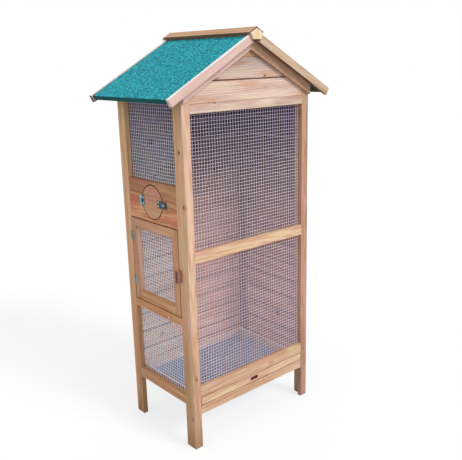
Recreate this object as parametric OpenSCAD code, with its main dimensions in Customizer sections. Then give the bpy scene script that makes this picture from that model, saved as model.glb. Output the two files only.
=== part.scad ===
// Wooden bird aviary: a gabled cage on four legs, with wire mesh on the front and the left side,
// board walls at the back and right, a mesh door, a round hatch and a pull-out tray.
// X runs along the gabled front, Y runs back from it, Z is up.
// The origin is on the ground, below the middle of the roof.

/* [Overall] */
// Width of the cage across its gabled front
body_w = 630; // [500:5:800]
// Depth of the cage from the front frame to the back wall
body_d = 410; // [380:5:600]
// Height from the ground to the top of the ridge bar
total_h = 1580; // [1480:5:1900]

/* [Timber] */
// Width of the frame timbers across their face
timber_w = 35; // [28:1:44]
// Thickness of the front frame
front_t = 18; // [14:1:24]
// Thickness of the two side frames
side_t = 20; // [16:1:24]
// Thickness of the back stiles and the wall boards
board_t = 12; // [10:1:16]
// Thickness of the door frame and the round hatch
leaf_t = 18; // [12:1:20]

/* [Front levels] */
// Height of the underside of the lowest front rail above the ground
leg_h = 142; // [100:1:200]
// Height of the lowest front rail
lower_rail_h = 36; // [25:1:50]
// Height of the slot that the tray slides through
slot_h = 35; // [30:1:60]
// Height of the rail over the tray slot
bottom_rail_h = 45; // [30:1:60]
// Height of the rail across the middle of the front
middle_rail_h = 42; // [30:1:60]
// Height of the rail under the gable boards
top_rail_h = 32; // [25:1:45]

/* [Side levels] */
// Height of the bottom rail of the side frames
side_bottom_rail_h = 38; // [34:1:60]
// Height of the rail under the door
side_middle_rail_h = 32; // [25:1:45]
// Height of the door's sill above the ground
door_sill_z = 535; // [480:1:600]
// Height of the doorway
doorway_h = 346; // [300:1:400]
// Height of the hatch board over the doorway
hatch_board_h = 155; // [150:1:190]
// How far the front opening ends below the roof's underside at the corners
top_rail_drop = 76; // [55:1:90]
// How far the side openings end below the roof's underside at the outer face
side_rail_drop = 42; // [30:1:70]

/* [Door and hatch] */
// Gap around the door
door_gap = 5; // [4:0.5:8]
// Diameter of the round hatch
hatch_d = 128; // [90:1:130]
// Gap around the round hatch
hatch_gap = 4; // [3:0.5:6]
// How far the round hatch stands proud of its board
hatch_proud = 0.5; // [0.3:0.1:1]
// Distance of each door hinge from the end of the door
hinge_inset = 75; // [45:1:110]
// Height of the small butt hinges
hinge_h = 38; // [30:1:44]
// Width of one hinge leaf from the axis
hinge_leaf_w = 15; // [12:0.5:20]
// Radius of the hinge knuckles
knuckle_r = 2.6; // [2.2:0.1:3.5]
// Radius of the hinge pins
hinge_pin_r = 1.2; // [1:0.1:1.5]
// Length of the wooden turn button
button_l = 46; // [40:1:70]
// Width of the turn button
button_w = 14; // [12:1:20]
// Thickness of the turn button
button_t = 10; // [8:0.5:14]
// Length of the hatch hasp
hasp_l = 56; // [50:1:70]
// Height of the hatch hasp
hasp_h = 28; // [20:1:34]

/* [Roof] */
// Pitch of the roof in degrees
roof_pitch = 29; // [25:0.5:34]
// How far the eaves reach past the side frames
eave_out = 76; // [40:1:90]
// How far the roof reaches past the front
gable_out = 40; // [30:1:80]
// How far the roof reaches past the back
back_out = 68; // [30:1:90]
// Thickness of the roof panels
panel_t = 15; // [10:1:20]
// Thickness of the roofing felt
felt_t = 3; // [2:0.5:4]
// Width of the barge boards across the slope
barge_w = 30; // [26:1:50]
// Thickness of the barge boards
barge_t = 15; // [10:1:20]
// How far the barge boards stand above the felt
barge_proud = 4; // [2:0.5:8]
// How far the barge boards reach past the eaves
barge_past = 5; // [4:1:20]
// Half the width of the ridge bar at its shoulders
ridge_half_w = 35; // [25:1:45]
// Length of the ridge bar's slanted sides
ridge_side = 28; // [20:1:35]
// How far the ridge bar's peak stands above the barge boards' line
ridge_proud = 12; // [8:1:20]
// How far the ridge bar reaches past the barge boards at each end
ridge_past = 12; // [0:1:25]

/* [Tray] */
// Thickness of the tray's wooden edge
tray_edge_t = 12; // [9:1:16]
// Thickness of the tray's zinc sheet
sheet_t = 1.5; // [1:0.5:3]
// Gap between the tray and the timbers above, below and beside it
tray_gap = 2; // [1:0.5:4]
// Width of the finger slot in the tray front
finger_w = 42; // [30:1:80]
// Height of the finger slot in the tray front
finger_h = 14; // [10:1:18]

/* [Mesh] */
// Thickness of the wire mesh panels
mesh_t = 1.4; // [1:0.1:3]
// How far the mesh laps onto the frames
mesh_lap = 10; // [5:1:14]

/* [Hidden] */
$fn = 48;

// Plan of the cage.
side_x = body_w / 2;
inner_x = side_x - side_t;
stile_x = side_x - timber_w;
roof_y = (gable_out + body_d + back_out) / 2;
front_y = -roof_y + gable_out;
back_y = front_y + body_d;
frame_y0 = front_y + front_t;
frame_y1 = back_y - board_t;
open_y0 = frame_y0 + timber_w;
open_y1 = frame_y1 - timber_w;
open_mid_y = (open_y0 + open_y1) / 2;

// Roof: the barge boards' top edges meet at apex_z, and slanted faces lie seat apart.
apex_z = total_h - ridge_proud;
under_n = -(barge_proud + felt_t + panel_t);
plate_z = apex_z - side_x * tan(roof_pitch) + under_n / cos(roof_pitch);
eave_s = (side_x + eave_out) / cos(roof_pitch);
barge_s = (side_x + eave_out + barge_past) / cos(roof_pitch);
shoulder_s = ridge_half_w / cos(roof_pitch) - ridge_proud * sin(roof_pitch);
shoulder_n = ridge_proud * cos(roof_pitch);
seat = 0.05;

// Levels of the front.
slot_z = leg_h + lower_rail_h;
bottom_rail_z = slot_z + slot_h;
lower_open_z = bottom_rail_z + bottom_rail_h;
head_z = plate_z - top_rail_drop;
middle_rail_z = (lower_open_z + head_z - middle_rail_h) / 2;
upper_open_z = middle_rail_z + middle_rail_h;
gable_z = head_z + top_rail_h;
gable_set_back = 2;

// Levels of the left side.
side_open_z = slot_z + side_bottom_rail_h;
side_head_z = plate_z - side_rail_drop;
door_head_z = door_sill_z + doorway_h;
hatch_board_z1 = door_head_z + hatch_board_h;
door_z0 = door_sill_z + door_gap;
door_z1 = door_head_z - door_gap;
door_y0 = open_y0 + door_gap;
door_y1 = open_y1 - door_gap;
door_x = -side_x + leaf_t;
hatch_z = door_head_z + hatch_board_h / 2;
hatch_r = hatch_d / 2;

// Hinges: the axis stands just clear of the outer face.
leaf_plate_t = 1.5;
face_clear = 0.2;
knuckle_gap = 0.3;
pin_play = 0.05;
hinge_axis_x = -side_x - knuckle_r - face_clear;
door_axis_y = open_y1 - door_gap / 2;
hatch_axis_y = open_mid_y + hatch_r + hatch_gap / 2;
hatch_axis_x = hinge_axis_x - hatch_proud;

// Turn button on the front side stile, upright when it lets the door go.
button_gap = 0.5;
button_y = open_y0 - button_w / 2;
button_z = door_z0 + (door_z1 - door_z0) / 2 - 2;
shank_r = 2.5;
shank_play = 0.05;

// Hasp on the round hatch, with a swivel head that passes through its slot.
hasp_t = 1.5;
hasp_slot_l = 22;
hasp_slot_h = 10;
swivel_y = open_mid_y - hatch_r - 14;
swivel_l = 18;
swivel_h = 7;
swivel_t = 3.5;
swivel_gap = 0.8;
hasp_y0 = swivel_y - hasp_slot_l / 2 - 4;

// Tray.
tray_x = stile_x - tray_gap;
tray_z0 = slot_z + tray_gap;
tray_z1 = slot_z + slot_h - tray_gap;
tray_y1 = frame_y1 - tray_gap - 1;
runner_t = 12;
runner_lip = 18;
runner_gap = 0.3;
runner_guide = 14;
runner_x = stile_x + 1;

// A block between two opposite corners.
module block(lo, hi) {
    translate(lo) cube(hi - lo);
}

// A profile in the X-Z plane, drawn out along Y.
module along_y(y0, y1) {
    translate([0, y1, 0]) rotate([90, 0, 0]) linear_extrude(y1 - y0) children();
}

// Points on the right slope: s runs down it from the apex, n stands up from it.
function slope_x(s, n) = s * cos(roof_pitch) + n * sin(roof_pitch);
function slope_z(s, n) = apex_z - s * sin(roof_pitch) + n * cos(roof_pitch);
function slope(s, n) = [slope_x(s, n), slope_z(s, n)];

module slope_strip(s0, s1, n0, n1) {
    polygon([slope(s0, n0), slope(s1, n0), slope(s1, n1), slope(s0, n1)]);
}

// side is -1 for the left and 1 for the right.
module handed(side) {
    mirror([side < 0 ? 1 : 0, 0, 0]) children();
}

module ridge_profile() {
    low_x = slope_x(shoulder_s, shoulder_n - ridge_side);
    low_z = slope_z(shoulder_s, shoulder_n - ridge_side);
    high_x = slope_x(shoulder_s, shoulder_n);
    high_z = slope_z(shoulder_s, shoulder_n);
    polygon([[0, total_h], [high_x, high_z], [low_x, low_z], [-low_x, low_z], [-high_x, high_z]]);
}

// Everything below the roof panels and the ridge bar.
module under_roof() {
    peak_z = apex_z + (under_n - seat) / cos(roof_pitch);
    low_z = peak_z - body_w * tan(roof_pitch);
    difference() {
        along_y(-roof_y, roof_y)
            polygon([[-body_w, 0], [body_w, 0], [body_w, low_z], [0, peak_z], [-body_w, low_z]]);
        along_y(-roof_y, roof_y) ridge_profile();
    }
}

/* Front frame */
module front_stile(side) {
    color("burlywood") intersection() {
        handed(side) block([stile_x, front_y, 0], [side_x, frame_y0, total_h]);
        under_roof();
    }
}

module front_rail(z0, z1) {
    color("burlywood") block([-stile_x, front_y, z0], [stile_x, frame_y0, z1]);
}

module front_gable() {
    y0 = front_y + gable_set_back;
    color("tan") intersection() {
        block([-stile_x, y0, gable_z], [stile_x, y0 + board_t, total_h]);
        under_roof();
    }
}

module front_rafter(side) {
    profile_n = under_n - timber_w;
    y0 = front_y - board_t;
    color("burlywood") handed(side) difference() {
        intersection() {
            along_y(y0, front_y) slope_strip(-timber_w, eave_s, profile_n, under_n - seat);
            block([0, y0, 0], [side_x, front_y, total_h]);
        }
        along_y(y0 - 1, front_y + 1) ridge_profile();
    }
}

module front_mesh(z0, z1) {
    x = stile_x + mesh_lap;
    color("silver") block([-x, frame_y0, z0 - mesh_lap], [x, frame_y0 + mesh_t, z1 + mesh_lap]);
}

/* Side frames */
module side_stile(side, y0) {
    intersection() {
        handed(side) block([inner_x, y0, 0], [side_x, y0 + timber_w, total_h]);
        under_roof();
    }
}

module left_front_stile() {
    color("burlywood") difference() {
        side_stile(-1, frame_y0);
        translate([-side_x - 1, button_y, button_z]) rotate([0, 90, 0])
            cylinder(r = shank_r + shank_play, h = side_t + 2);
    }
}

module side_top_rail(side) {
    color("burlywood") intersection() {
        handed(side) block([inner_x, open_y0, side_head_z], [side_x, open_y1, total_h]);
        under_roof();
    }
}

module side_rail(side, z0, z1) {
    color("burlywood") handed(side) block([inner_x, open_y0, z0], [side_x, open_y1, z1]);
}

module hatch_board() {
    color("peru") difference() {
        block([-side_x, open_y0, door_head_z], [-inner_x, open_y1, hatch_board_z1]);
        translate([-side_x - 1, open_mid_y, hatch_z]) rotate([0, 90, 0])
            cylinder(r = hatch_r + hatch_gap, h = side_t + 2, $fn = 96);
        translate([-side_x - 1, swivel_y, hatch_z]) rotate([0, 90, 0])
            cylinder(r = shank_r + shank_play, h = side_t + 2);
    }
}

module side_mesh(z0, z1) {
    color("silver") block([-inner_x, open_y0 - mesh_lap, z0 - mesh_lap],
                          [-inner_x + mesh_t, open_y1 + mesh_lap, z1 + mesh_lap]);
}

module right_wall() {
    color("tan") block([side_x - gable_set_back - board_t, open_y0, side_open_z],
                       [side_x - gable_set_back, open_y1, side_head_z]);
}

/* Back */
module back_stile(side) {
    color("burlywood") intersection() {
        handed(side) block([stile_x, frame_y1, 0], [side_x, back_y, total_h]);
        under_roof();
    }
}

module back_wall() {
    color("tan") intersection() {
        block([-stile_x, frame_y1, slot_z], [stile_x, back_y, total_h]);
        under_roof();
    }
}

/* Door */
module door_stile(y0) {
    color("peru") block([-side_x, y0, door_z0], [door_x, y0 + timber_w, door_z1]);
}

module door_rail(z0) {
    color("peru") block([-side_x, door_y0 + timber_w, z0],
                        [door_x, door_y1 - timber_w, z0 + timber_w]);
}

module door_mesh() {
    inset = timber_w - mesh_lap;
    color("silver") block([door_x, door_y0 + inset, door_z0 + inset],
                          [door_x + mesh_t, door_y1 - inset, door_z1 - inset]);
}

/* Butt hinge, centred on its axis, with its leaf lying towards +Y on a face at face_x. */
module hinge_plate(face_x) {
    plate_y = knuckle_r + 0.4;
    block([face_x - leaf_plate_t, plate_y, -hinge_h / 2], [face_x, hinge_leaf_w, hinge_h / 2]);
}

module hinge_knuckle(face_x, z0, z1) {
    translate([0, 0, z0]) cylinder(r = knuckle_r, h = z1 - z0);
    block([face_x - leaf_plate_t, 0, z0], [face_x, knuckle_r + 1, z1]);
}

module hinge_fixed(face_x) {
    third = hinge_h / 6;
    hinge_plate(face_x);
    hinge_knuckle(face_x, -hinge_h / 2, -third - knuckle_gap);
    hinge_knuckle(face_x, third + knuckle_gap, hinge_h / 2);
    translate([0, 0, -hinge_h / 2]) cylinder(r = hinge_pin_r, h = hinge_h);
}

module hinge_moving(face_x) {
    third = hinge_h / 6;
    difference() {
        mirror([0, 1, 0]) {
            hinge_plate(face_x);
            hinge_knuckle(face_x, -third, third);
        }
        translate([0, 0, -hinge_h / 2]) cylinder(r = hinge_pin_r + pin_play, h = hinge_h);
    }
}

module door_hinge_places() {
    for (z = [door_z0 + hinge_inset, door_z1 - hinge_inset])
        translate([hinge_axis_x, door_axis_y, z]) children();
}

module door_hinge_fixed_leaves() {
    color("silver") door_hinge_places() hinge_fixed(-side_x - hinge_axis_x);
}

module door_hinge_moving_leaves() {
    color("silver") door_hinge_places() hinge_moving(-side_x - hinge_axis_x);
}

/* A shank that turns in the wood, along X from the outer face inwards. */
module shank(x0, y, z) {
    translate([x0, y, z]) rotate([0, 90, 0]) cylinder(r = shank_r, h = -inner_x - x0);
}

module turn_button() {
    x1 = -side_x - button_gap;
    color("sienna") {
        block([x1 - button_t, button_y - button_w / 2, button_z - button_l / 2],
              [x1, button_y + button_w / 2, button_z + button_l / 2]);
        shank(x1 - button_t / 2, button_y, button_z);
    }
}

/* Round hatch */
module hatch_disc() {
    color("peru") translate([-side_x - hatch_proud, open_mid_y, hatch_z]) rotate([0, 90, 0])
        cylinder(r = hatch_r, h = leaf_t, $fn = 96);
}

module hatch_hinge_fixed_leaf() {
    color("silver") translate([hatch_axis_x, hatch_axis_y, hatch_z])
        hinge_fixed(-side_x - hatch_axis_x);
}

module hatch_hinge_moving_leaf() {
    color("silver") translate([hatch_axis_x, hatch_axis_y, hatch_z])
        hinge_moving(-side_x - hatch_proud - hatch_axis_x);
}

module hatch_hasp() {
    x1 = -side_x - hatch_proud;
    color("silver") difference() {
        block([x1 - hasp_t, hasp_y0, hatch_z - hasp_h / 2],
              [x1, hasp_y0 + hasp_l, hatch_z + hasp_h / 2]);
        block([x1 - hasp_t - 1, swivel_y - hasp_slot_l / 2, hatch_z - hasp_slot_h / 2],
              [x1 + 1, swivel_y + hasp_slot_l / 2, hatch_z + hasp_slot_h / 2]);
    }
}

module hatch_turn() {
    x1 = -side_x - hatch_proud - hasp_t - swivel_gap;
    color("dimgray") {
        block([x1 - swivel_t, swivel_y - swivel_l / 2, hatch_z - swivel_h / 2],
              [x1, swivel_y + swivel_l / 2, hatch_z + swivel_h / 2]);
        shank(x1 - swivel_t / 2, swivel_y, hatch_z);
    }
}

/* Roof */
module roof_panel(side) {
    color("darkkhaki") handed(side) along_y(-roof_y + barge_t, roof_y - barge_t)
        slope_strip(shoulder_s + seat, eave_s - felt_t - seat, under_n, under_n + panel_t - seat);
}

module felt(side) {
    color("cadetblue") handed(side) along_y(-roof_y + barge_t, roof_y - barge_t) {
        slope_strip(shoulder_s + seat, eave_s, -barge_proud - felt_t, -barge_proud);
        slope_strip(eave_s - felt_t, eave_s, under_n, -barge_proud);
    }
}

module ridge_bar() {
    color("burlywood") along_y(-roof_y - ridge_past, roof_y + ridge_past) ridge_profile();
}

module barge(side, y0) {
    color("wheat") handed(side) along_y(y0, y0 + barge_t)
        slope_strip(shoulder_s + seat, barge_s, -barge_w, 0);
}

/* Tray */
module tray_front() {
    mid_z = (tray_z0 + tray_z1) / 2;
    end_x = (finger_w - finger_h) / 2;
    color("burlywood") difference() {
        block([-tray_x, front_y, tray_z0], [tray_x, frame_y0, tray_z1]);
        for (x = [-end_x, end_x])
            translate([x, frame_y0 + 1, mid_z]) rotate([90, 0, 0])
                cylinder(d = finger_h, h = front_t + 2);
        block([-end_x, front_y - 1, mid_z - finger_h / 2],
              [end_x, frame_y0 + 1, mid_z + finger_h / 2]);
    }
}

module tray_frame() {
    edge_z = tray_z0 + sheet_t;
    inner = tray_x - tray_edge_t;
    color("burlywood") difference() {
        block([-tray_x, frame_y0, edge_z], [tray_x, tray_y1, tray_z1]);
        block([-inner, frame_y0 - 1, edge_z - 1], [inner, tray_y1 - tray_edge_t, tray_z1 + 1]);
    }
}

module tray_sheet() {
    color("lightsteelblue") block([-tray_x, frame_y0, tray_z0], [tray_x, tray_y1, tray_z0 + sheet_t]);
}

module tray_runner(side) {
    z0 = slot_z - runner_t;
    color("tan") handed(side) {
        block([runner_x, frame_y0, z0], [inner_x, frame_y1, tray_z0 + runner_guide]);
        block([runner_x - runner_lip, frame_y0, z0], [runner_x, frame_y1, tray_z0 - runner_gap]);
    }
}

front_stile(-1);  // front_stile_left
front_stile(1);  // front_stile_right
front_rail(head_z, gable_z);  // front_top_rail
front_rail(middle_rail_z, upper_open_z);  // front_middle_rail
front_rail(bottom_rail_z, lower_open_z);  // front_bottom_rail
front_rail(leg_h, slot_z);  // front_lower_rail
front_gable();
front_rafter(-1);  // front_rafter_left
front_rafter(1);  // front_rafter_right
front_mesh(upper_open_z, head_z);  // front_upper_mesh
front_mesh(lower_open_z, middle_rail_z);  // front_lower_mesh
left_front_stile();
color("burlywood") side_stile(-1, open_y1);  // left_back_stile
side_top_rail(-1);  // left_top_rail
hatch_board();
side_rail(-1, door_sill_z - side_middle_rail_h, door_sill_z);  // left_middle_rail
side_rail(-1, slot_z, side_open_z);  // left_bottom_rail
side_mesh(hatch_board_z1, side_head_z);  // left_upper_mesh
side_mesh(side_open_z, door_sill_z - side_middle_rail_h);  // left_lower_mesh
door_stile(door_y0);  // door_front_stile
door_stile(door_y1 - timber_w);  // door_back_stile
door_rail(door_z1 - timber_w);  // door_top_rail
door_rail(door_z0);  // door_bottom_rail
door_mesh();
door_hinge_fixed_leaves();
door_hinge_moving_leaves();
turn_button();
hatch_disc();
hatch_hinge_fixed_leaf();
hatch_hinge_moving_leaf();
hatch_hasp();
hatch_turn();
color("burlywood") side_stile(1, frame_y0);  // right_front_stile
color("burlywood") side_stile(1, open_y1);  // right_back_stile
side_top_rail(1);  // right_top_rail
side_rail(1, slot_z, side_open_z);  // right_bottom_rail
right_wall();
back_stile(-1);  // back_stile_left
back_stile(1);  // back_stile_right
back_wall();
roof_panel(-1);  // roof_panel_left
roof_panel(1);  // roof_panel_right
felt(-1);  // felt_left
felt(1);  // felt_right
ridge_bar();
barge(-1, -roof_y);  // front_barge_left
barge(1, -roof_y);  // front_barge_right
barge(-1, roof_y - barge_t);  // back_barge_left
barge(1, roof_y - barge_t);  // back_barge_right
tray_front();
tray_frame();
tray_sheet();
tray_runner(-1);  // tray_runner_left
tray_runner(1);  // tray_runner_right
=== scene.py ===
"""Wooden bird aviary: a gabled softwood cage on four legs, with welded mesh, board walls,
a felt roof, a mesh door, a round hatch and a pull-out zinc tray."""
import math

import bmesh
import bpy
from mathutils import Matrix, Vector


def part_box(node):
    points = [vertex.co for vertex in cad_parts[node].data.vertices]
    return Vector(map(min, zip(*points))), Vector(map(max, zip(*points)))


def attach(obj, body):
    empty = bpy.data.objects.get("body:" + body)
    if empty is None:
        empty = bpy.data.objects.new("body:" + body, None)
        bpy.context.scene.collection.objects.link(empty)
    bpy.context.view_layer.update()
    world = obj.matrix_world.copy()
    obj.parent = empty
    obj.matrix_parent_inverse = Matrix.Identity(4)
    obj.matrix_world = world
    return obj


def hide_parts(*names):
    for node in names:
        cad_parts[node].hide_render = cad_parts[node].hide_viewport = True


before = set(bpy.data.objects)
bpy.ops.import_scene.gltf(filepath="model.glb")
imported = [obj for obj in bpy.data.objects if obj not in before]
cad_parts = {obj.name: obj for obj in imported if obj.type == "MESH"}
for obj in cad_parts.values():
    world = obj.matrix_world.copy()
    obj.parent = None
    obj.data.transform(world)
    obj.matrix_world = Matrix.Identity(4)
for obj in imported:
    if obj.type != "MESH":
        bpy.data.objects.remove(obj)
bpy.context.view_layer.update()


# Studio: a pale floor and backdrop, a soft key lamp high in front, a weak one from the left
# and an even sky. The camera stands at the front left corner, a little below the eaves.
def put(tree, kind, inputs=None, **settings):
    """Adds a node. Each input is a plain value or another node's output."""
    node = tree.nodes.new(kind)
    for key, value in settings.items():
        setattr(node, key, value)
    for key, value in (inputs or {}).items():
        if isinstance(value, bpy.types.NodeSocket):
            tree.links.new(value, node.inputs[key])
        else:
            node.inputs[key].default_value = value
    return node


def calc(tree, operation, *values):
    """A Math node's output."""
    return put(tree, "ShaderNodeMath", dict(enumerate(values)), operation=operation).outputs[0]


def seen_directly(tree):
    """1 for what is looked at, straight, in a reflection or through glass. 0 for its light."""
    ray = put(tree, "ShaderNodeLightPath").outputs
    seen = calc(tree, "MAXIMUM", ray["Is Camera Ray"], ray["Is Glossy Ray"])
    return calc(tree, "MAXIMUM", seen, ray["Is Transmission Ray"])


scene = bpy.context.scene
scene.view_settings.view_transform = "Standard"

camera = bpy.data.objects.new("camera", bpy.data.cameras.new("camera"))
camera.data.sensor_fit = "HORIZONTAL"
camera.data.sensor_width = 36
camera.data.lens = 49.4
camera.location = (-1.609, -1.963, 1.477)
camera.rotation_euler = [math.radians(angle) for angle in (74.75, 1.37, -41.10)]
scene.collection.objects.link(camera)
scene.camera = camera

LAMP_TARGET = Vector((0, 0, 0.6))
for name, place, strength, spread in (("key_lamp", (0.6, -2.4, 2.5), 1.9, 20),
                                      ("left_lamp", (-3.0, -0.6, 2.0), 0.45, 70)):
    lamp = bpy.data.objects.new(name, bpy.data.lights.new(name, "SUN"))
    lamp.data.energy = strength
    lamp.data.angle = math.radians(spread)
    lamp.location = place
    towards = LAMP_TARGET - Vector(place)
    lamp.rotation_euler = towards.to_track_quat("-Z", "Y").to_euler()
    scene.collection.objects.link(lamp)

world = bpy.data.worlds.new("studio")
scene.world = world
world.use_nodes = True
sky = world.node_tree
sky.nodes.clear()
seen = seen_directly(sky)
even_light = put(sky, "ShaderNodeBackground", {"Color": (0.96, 0.98, 1, 1), "Strength": 0.72})
backdrop = put(sky, "ShaderNodeBackground", {"Color": (1, 1, 1, 1), "Strength": 1})
both = put(sky, "ShaderNodeMixShader", {0: seen, 1: even_light.outputs[0], 2: backdrop.outputs[0]})
put(sky, "ShaderNodeOutputWorld", {"Surface": both.outputs[0]})

FLOOR_HALF = 30
FLOOR_BELOW = 0.0003
floor_mesh = bpy.data.meshes.new("studio_floor")
floor_mesh.from_pydata([(x * FLOOR_HALF, y * FLOOR_HALF, -FLOOR_BELOW)
                        for x, y in ((-1, -1), (1, -1), (1, 1), (-1, 1))], [], [(0, 1, 2, 3)])
floor = bpy.data.objects.new("studio_floor", floor_mesh)
scene.collection.objects.link(floor)
paper = bpy.data.materials.new("white_paper")
paper.use_nodes = True
nodes = paper.node_tree
nodes.nodes.clear()
seen = seen_directly(nodes)
shade = put(nodes, "ShaderNodeMix", {0: seen, 6: (0.5, 0.5, 0.5, 1), 7: (0.95, 0.95, 0.95, 1)},
            data_type="RGBA").outputs[2]
matt = put(nodes, "ShaderNodeBsdfDiffuse", {"Color": shade})
glow = put(nodes, "ShaderNodeEmission", {"Color": (1, 1, 1, 1), "Strength": 1})
lifted = put(nodes, "ShaderNodeMixShader",
             {0: calc(nodes, "MULTIPLY", seen, 0.72), 1: matt.outputs[0], 2: glow.outputs[0]})
put(nodes, "ShaderNodeOutputMaterial", {"Surface": lifted.outputs[0]})
floor.data.materials.append(paper)


# Front frame: two stiles that run down as legs and four rails between them, planed softwood
# 18 mm thick with lightly eased arrises, screwed to the side frames from the front.
ALONG = {"x": Vector((1, 0, 0)), "y": Vector((0, 1, 0)), "z": Vector((0, 0, 1))}
SQUARE_ON = 0.9
TONE_STEP = 0.618
timbers_made = []


def mix(tree, factor, first, second, blend_type="MIX"):
    """A colour Mix node's output."""
    node = put(tree, "ShaderNodeMix", {0: factor, 6: first, 7: second},
               data_type="RGBA", blend_type=blend_type)
    return node.outputs[2]


def ramp(tree, value, low, high, to_low=0.0, to_high=1.0):
    """Takes value from low..high to to_low..to_high in a smooth step."""
    return put(tree, "ShaderNodeMapRange",
               {"Value": value, "From Min": low, "From Max": high,
                "To Min": to_low, "To Max": to_high},
               interpolation_type="SMOOTHSTEP").outputs[0]


def stretched(tree, vector, scale):
    """A vector times a scale on each axis."""
    return put(tree, "ShaderNodeVectorMath", {0: vector, 1: scale}, operation="MULTIPLY").outputs[0]


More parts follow.
